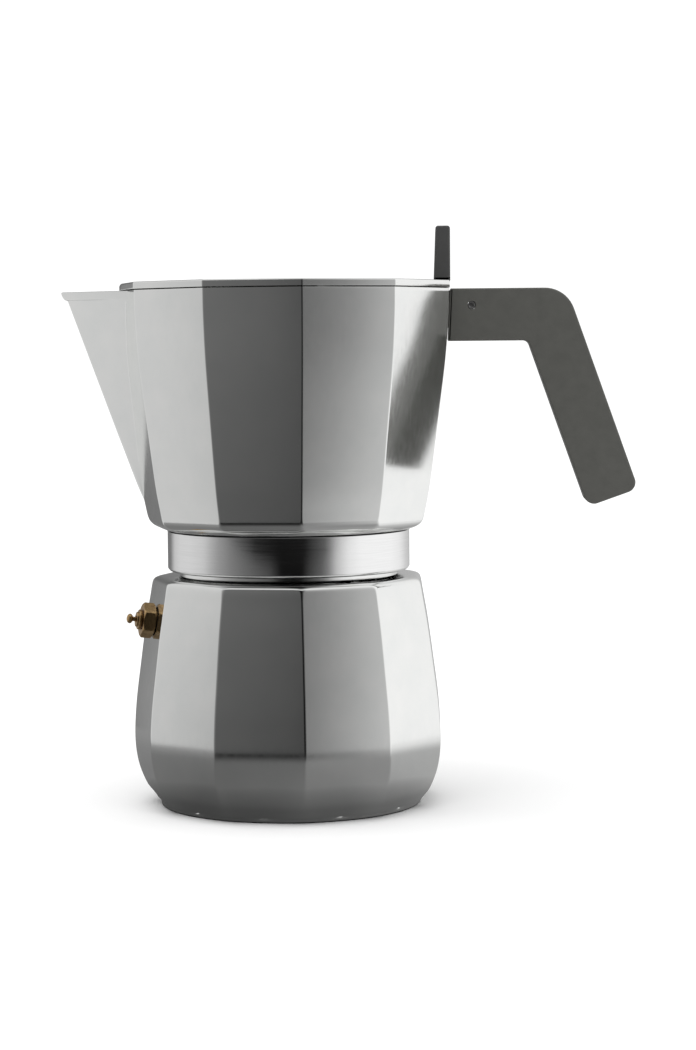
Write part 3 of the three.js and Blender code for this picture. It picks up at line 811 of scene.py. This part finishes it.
def handle_outline():
    down = np.array((math.cos(HANDLE_ANGLE), -math.sin(HANDLE_ANGLE)))
    inward = np.array((-math.sin(HANDLE_ANGLE), -math.cos(HANDLE_ANGLE)))
    end = np.array((HANDLE_CORNER, HANDLE_TOP)) + HANDLE_LEG * down
    foot = end + HANDLE_DEPTH * inward
    inner = foot - down * (HANDLE_UNDERSIDE - foot[1]) / math.sin(HANDLE_ANGLE)
    return rounded_outline([
        (63.6, HANDLE_TOP, 0.5), (HANDLE_CORNER, HANDLE_TOP, 12), (*end, 4), (*foot, 4), (*inner, 2.5),
        (62.6, HANDLE_UNDERSIDE, 0.5),
    ], 10)


def make_handle():
    piece = shape("handle_grip", slab(handle_outline(), HANDLE_HALF, 0.6))
    pocket = block((60, -POCKET_HALF, POCKET_FLOOR), (POCKET_END, POCKET_HALF, HANDLE_TOP + 2))
    combine(piece, shape("pocket", pocket))
    combine(piece, shape("pin_hole", cross_rod(PIN_HOLE, PIN_X, PIN_Z, HANDLE_HALF, 48, 0.12)))
    finish_piece(piece, "collector", HANDLE_PLASTIC, "handle")

    # A slotted pin that is hollow at its ends and filled between them.
    half_slot = math.radians(22)
    slot_facing = math.radians(150)
    end = HANDLE_HALF - 0.3
    section = [(PIN_RADIUS, -end), (PIN_RADIUS, end - 0.12), (PIN_RADIUS - 0.12, end),
               (PIN_HOLLOW + 0.12, end), (PIN_HOLLOW, end - 0.12), (PIN_HOLLOW, -end)]
    rows = []
    for angle in slot_facing + np.linspace(half_slot, 2 * math.pi - half_slot, 48):
        rows.append(np.array([(PIN_X + radius * math.cos(angle), -y, PIN_Z + radius * math.sin(angle))
                              for radius, y in section]))
    core = cross_rod(1.45, PIN_X, PIN_Z, end - 3.2)
    roll_pin = shape("hinge_roll_pin", loft(rows), core)
    finish_piece(roll_pin, "collector", STEEL, "hinge_pin")


# ---------------------------------------------------------------- lid, knob and screws

def make_lid():
    rows = [around(radius, PLAIN, LID_BOTTOM) for radius in (0.0, 30.0, 52.0)]
    for corner, height in [(LID_CORNER - 4.0, LID_BOTTOM), (LID_CORNER - 0.25, LID_BOTTOM),
                           (LID_CORNER - 0.05, LID_BOTTOM + 0.08), (LID_CORNER, LID_BOTTOM + 0.25),
                           (LID_CORNER, LID_TOP - 1.4), (LID_CORNER, LID_TOP - 0.95),
                           (LID_CORNER, LID_TOP - 0.7), (LID_CORNER - 0.05, LID_TOP - 0.42),
                           (LID_CORNER - 0.2, LID_TOP - 0.2),
                           (LID_CORNER - 0.42, LID_TOP - 0.05), (LID_CORNER - 0.7, LID_TOP),
                           (LID_CORNER - 4.0, LID_TOP)]:
        row = around(facet_radius(PLAIN, corner, 1.0), PLAIN, height)
        into_round = np.clip(height - (LID_TOP - LID_SPOUT_ROUND), 0, LID_SPOUT_ROUND)
        drop = LID_SPOUT_ROUND - math.sqrt(LID_SPOUT_ROUND ** 2 - into_round ** 2)
        row[:, 0] = np.maximum(row[:, 0], drop - LID_SPOUT_EDGE)
        rows.append(row)
    rows.extend(around(radius, PLAIN, LID_TOP) for radius in (52.0, 30.0, 0.0))
    piece = shape("lid_plate", loft(rows))
    tongue = rounded_outline([
        (56.5, LID_BOTTOM + 0.5, 0), (56.5, 197.5, 1.5), (64.0, 190.6, 2), (71.5, 188.9, 2), (76.0, 190.6, 3),
        (76.0, 197.0, 3), (63.0, 199.6, 1), (62.4, LID_BOTTOM + 0.5, 0),
    ])
    combine(piece, shape("tongue", slab(tongue, 2.2, 0.3)), "UNION")
    combine(piece, shape("pin_hole", cross_rod(PIN_HOLE, PIN_X, PIN_Z, 8)))
    for side in (-1, 1):
        sunk = [(0, LID_BOTTOM - 1), (2.9, LID_BOTTOM - 1), (2.9, LID_BOTTOM + 0.3), (1.5, LID_BOTTOM + 1.8),
                (1.5, LID_TOP + 1), (0, LID_TOP + 1)]
        place = Matrix.Translation(Vector((SCREW_X, side * SCREW_Y, 0)) * MM)
        combine(piece, shape("screw_hole", lathe(sunk, 40), place=place))
        screw = [(0, LID_BOTTOM + 0.9), (0.7, LID_BOTTOM + 0.9), (0.9, LID_BOTTOM + 0.1),
                 (2.3, LID_BOTTOM + 0.1), (2.5, LID_BOTTOM + 0.25), (1.15, LID_BOTTOM + 1.8),
                 (1.15, 210.6), (0.6, 211.4), (0, 211.4)]
        name = "near" if side < 0 else "far"
        fastener = shape("knob_fastener_" + name, lathe(screw, 40), place=place)
        finish_piece(fastener, "lid", STEEL, "knob_screw_" + name)
    finish_piece(piece, "lid", CAST, "lid")


def make_knob():
    bottom = LID_TOP + 0.1
    outline = rounded_outline([
        (KNOB_FRONT, bottom, 0.1), (KNOB_REAR, bottom, 0.1), (KNOB_REAR, KNOB_TOP, 1.1),
        (KNOB_FRONT + 0.8, KNOB_TOP, 1.1),
    ], 7)
    piece = shape("knob_grip", slab(outline, KNOB_HALF, 0.7))
    for side in (-1, 1):
        place = Matrix.Translation(Vector((SCREW_X, side * SCREW_Y, 0)) * MM)
        combine(piece, shape("bore", rod(1.5, 200, 212.5, 24), place=place))
    finish_piece(piece, "lid", SHADED_KNOB_PLASTIC, "lid_knob")


# ---------------------------------------------------------------- stage, light and camera

TENT_RADIUS = 0.25
TENT_HEIGHT = 0.45
# Brightness around the pot, as (degrees from +X, strength): the foot of the tent's wall,
LOW_TONES = [(0, 1.0), (20, 0.99), (36, 0.9), (52, 0.66), (80, 0.45), (105, 0.28), (120, 0.2),
             (129, 0.21), (134, 0.32), (141, 0.58), (152, 0.68), (170, 0.7), (186, 0.64), (191, 0.6),
             (196, 0.5), (206, 0.34), (219, 0.23), (232, 0.165), (243, 0.125), (250, 0.1), (256, 0.08),
             (259.5, 0.05), (266, 0.006), (285, 0.005), (291, 0.05), (302, 0.12), (308, 0.23),
             (312, 0.38), (316, 0.57), (328, 0.87), (341, 0.99), (360, 1.0)]
# its upper part,
HIGH_TONES = [(0, 0.98), (20, 0.97), (36, 0.9), (52, 0.7), (80, 0.45), (105, 0.17), (127, 0.13),
              (129, 0.18), (134, 0.3), (141, 0.6), (152, 0.7), (170, 0.72), (186, 0.68), (192, 0.65),
              (197, 0.57), (206, 0.4), (219, 0.26), (237, 0.175), (247, 0.155), (251, 0.135),
              (255, 0.117), (257.5, 0.095), (266, 0.01), (285, 0.01), (293, 0.06), (303, 0.125),
              (308, 0.17), (312, 0.26), (316, 0.48), (328, 0.86), (341, 0.97), (360, 0.98)]
# the table, a glowing disc whose painted brightness stands in for the light falling on it,
TABLE_TONES = [(0, 0.42), (40, 0.48), (62, 0.33), (90, 0.26), (133, 0.24), (150, 0.2), (190, 0.19),
               (205, 0.165), (225, 0.135), (250, 0.135), (265, 0.15), (285, 0.195), (300, 0.215),
               (310, 0.26), (320, 0.29), (335, 0.34), (350, 0.4), (360, 0.42)]
# and the table's edge, whose painted brightness is dark in front.
EDGE_TONES = [(0, 0.85), (30, 0.85), (45, 0.55), (62, 0.33), (90, 0.26), (133, 0.27), (150, 0.25),
              (190, 0.27), (200, 0.24), (215, 0.15), (232, 0.06), (243, 0.01), (258, 0.006),
              (288, 0.008), (299, 0.06), (306, 0.1), (311, 0.22), (316, 0.4), (322, 0.6), (332, 0.75),
              (345, 0.85), (360, 0.85)]
CEILING_TONE = 0.8


def angle_ramp(tree, tones):
    """A grey that depends on the angle about Z."""
    place = add(tree, "ShaderNodeTexCoord")
    split = add(tree, "ShaderNodeSeparateXYZ")
    angle = add(tree, "ShaderNodeMath", operation="ARCTAN2")
    turn = add(tree, "ShaderNodeMath", operation="MULTIPLY_ADD")
    turn.inputs[1].default_value = 1 / (2 * math.pi)
    turn.inputs[2].default_value = 1.0
    whole = add(tree, "ShaderNodeMath", operation="FRACT")
    ramp = add(tree, "ShaderNodeValToRGB")
    tree.links.new(place.outputs["Object"], split.inputs[0])
    tree.links.new(split.outputs["Y"], angle.inputs[0])
    tree.links.new(split.outputs["X"], angle.inputs[1])
    tree.links.new(angle.outputs[0], turn.inputs[0])
    tree.links.new(turn.outputs[0], whole.inputs[0])
    tree.links.new(whole.outputs[0], ramp.inputs["Fac"])
    stops = ramp.color_ramp.elements
    for degrees, strength in tones[1:-1]:
        stops.new(degrees / 360)
    for stop, (degrees, strength) in zip(stops, tones):
        stop.color = (strength, strength, strength, 1)
    return ramp.outputs["Color"]


def only_in_reflections(thing):
    thing.visible_camera = False
    thing.visible_diffuse = False
    thing.visible_transmission = False
    thing.visible_volume_scatter = False
    thing.visible_shadow = False


def glow(name, tones):
    material = bpy.data.materials.new(name)
    material.use_nodes = True
    tree = material.node_tree
    tree.nodes.clear()
    emission = add(tree, "ShaderNodeEmission")
    output = add(tree, "ShaderNodeOutputMaterial")
    colour = angle_ramp(tree, tones)
    tree.links.new(colour, emission.inputs["Color"])
    tree.links.new(emission.outputs[0], output.inputs["Surface"])
    material.cycles.emission_sampling = "NONE"
    return material, tree, colour, emission


def blend(tree, first, second, factor, emission):
    """The light's colour runs from the first to the second."""
    mix = add(tree, "ShaderNodeMix", data_type="RGBA")
    tree.links.new(factor, mix.inputs["Factor"])
    tree.links.new(first, mix.inputs["A"])
    tree.links.new(second, mix.inputs["B"])
    tree.links.new(mix.outputs["Result"], emission.inputs["Color"])


def stage_mesh(name, vertices, faces, material):
    mesh = bpy.data.meshes.new(name)
    mesh.from_pydata([tuple(vertex) for vertex in vertices], [], faces)
    mesh.materials.append(material)
    thing = bpy.data.objects.new(name, mesh)
    bpy.context.scene.collection.objects.link(thing)
    return thing


def make_tent():
    """A round light tent with a ceiling, and a grey table disc that glows with painted light, dimmed near the
    pot as a painted shadow of the pot; only reflections see them.
    """
    angles = np.linspace(0, 2 * math.pi, 180, endpoint=False)
    vertices, faces = loft([around(TENT_RADIUS, angles, height) for height in (0.0, TENT_HEIGHT)])
    material, tree, colour, emission = glow("tent", LOW_TONES)
    place = add(tree, "ShaderNodeTexCoord")
    split = add(tree, "ShaderNodeSeparateXYZ")
    tree.links.new(place.outputs["Object"], split.inputs[0])
    upwards = ranged(tree, split.outputs["Z"], 0, 1, 0.04, 0.16)
    blend(tree, colour, angle_ramp(tree, HIGH_TONES), upwards, emission)
    only_in_reflections(stage_mesh("tent", vertices, faces[:-2], material))
    ceiling = around(TENT_RADIUS, angles, TENT_HEIGHT)
    material = glow("ceiling", [(0, CEILING_TONE), (360, CEILING_TONE)])[0]
    only_in_reflections(stage_mesh("ceiling", ceiling, [tuple(range(180))], material))

    material, tree, colour, emission = glow("table", TABLE_TONES)
    place = add(tree, "ShaderNodeTexCoord")
    length = add(tree, "ShaderNodeVectorMath", operation="LENGTH")
    tree.links.new(place.outputs["Object"], length.inputs[0])
    at_edge = ranged(tree, length.outputs["Value"], 0, 1, 0.62 * TENT_RADIUS, 0.86 * TENT_RADIUS)
    blend(tree, colour, angle_ramp(tree, EDGE_TONES), at_edge, emission)
    # The table's glow dims towards the pot: a painted shadow of the pot.
    shade = ranged(tree, length.outputs["Value"], 0.4, 1, 0.2 * TENT_RADIUS, 0.3 * TENT_RADIUS)
    tree.links.new(shade, emission.inputs["Strength"])
    disc = around(TENT_RADIUS - 0.001, angles, 0.0004)
    only_in_reflections(stage_mesh("table", disc, [tuple(range(180))], material))


def make_floor():
    material, _, shader = new_material("floor", (0.9, 0.9, 0.9), 0.0, 0.9)
    shader.inputs["Specular IOR Level"].default_value = 0.0
    floor = stage_mesh("floor", [(-4, -4, 0), (4, -4, 0), (4, 4, 0), (-4, 4, 0)], [(0, 1, 2, 3)], material)
    floor.visible_glossy = False


def make_world():
    """A white surround for the camera and a soft sky for everything else."""
    world = bpy.data.worlds.new("studio")
    bpy.context.scene.world = world
    world.cycles_visibility.glossy = False
    world.use_nodes = True
    tree = world.node_tree
    tree.nodes.clear()
    output = add(tree, "ShaderNodeOutputWorld")
    seen = add(tree, "ShaderNodeBackground")
    seen.inputs["Color"].default_value = (1, 1, 1, 1)
    seen.inputs["Strength"].default_value = 1.1
    lit = add(tree, "ShaderNodeBackground")
    lit.inputs["Color"].default_value = (0.58, 0.58, 0.58, 1)
    mix = add(tree, "ShaderNodeMixShader")
    path = add(tree, "ShaderNodeLightPath")
    tree.links.new(path.outputs["Is Camera Ray"], mix.inputs[0])
    tree.links.new(lit.outputs[0], mix.inputs[1])
    tree.links.new(seen.outputs[0], mix.inputs[2])
    tree.links.new(mix.outputs[0], output.inputs["Surface"])


def make_soft_light(name, direction, strength, spread):
    """A wide, even light, which reflections don't see."""
    light = bpy.data.lights.new(name, "SUN")
    light.energy = strength
    light.angle = spread
    lamp = bpy.data.objects.new(name, light)
    lamp.rotation_euler = Vector(direction).to_track_quat("-Z", "Y").to_euler()
    lamp.visible_glossy = False
    bpy.context.scene.collection.objects.link(lamp)


CAMERA_PLACE = (0.0549, -1.0128, 0.1773)
CAMERA_YAW = math.radians(1.789)
CAMERA_PITCH = math.radians(-3.886)
CAMERA_ROLL = math.radians(0.5)  # clockwise, seen from behind the camera
LENS = 89.14


def make_camera():
    data = bpy.data.cameras.new("camera")
    data.lens = LENS
    data.sensor_width = 36
    data.clip_end = 20
    camera = bpy.data.objects.new("camera", data)
    level_view = Matrix.Rotation(math.pi / 2, 4, "X")
    turn = Matrix.Rotation(CAMERA_YAW, 4, "Z") @ Matrix.Rotation(CAMERA_PITCH, 4, "X") @ level_view
    roll = Matrix.Rotation(-CAMERA_ROLL, 4, "Z")
    camera.matrix_world = Matrix.Translation(CAMERA_PLACE) @ turn @ roll
    bpy.context.scene.collection.objects.link(camera)
    bpy.context.scene.camera = camera


make_camera()
make_world()
make_floor()
make_tent()
make_soft_light("overhead", (0.1, 0.15, -1.0), 2.45, math.radians(65))
bpy.context.scene.view_settings.view_transform = "Standard"

make_boiler()
make_valve()
make_funnel()
make_gasket()
make_collector()
make_column()
make_handle()
make_lid()
make_knob()
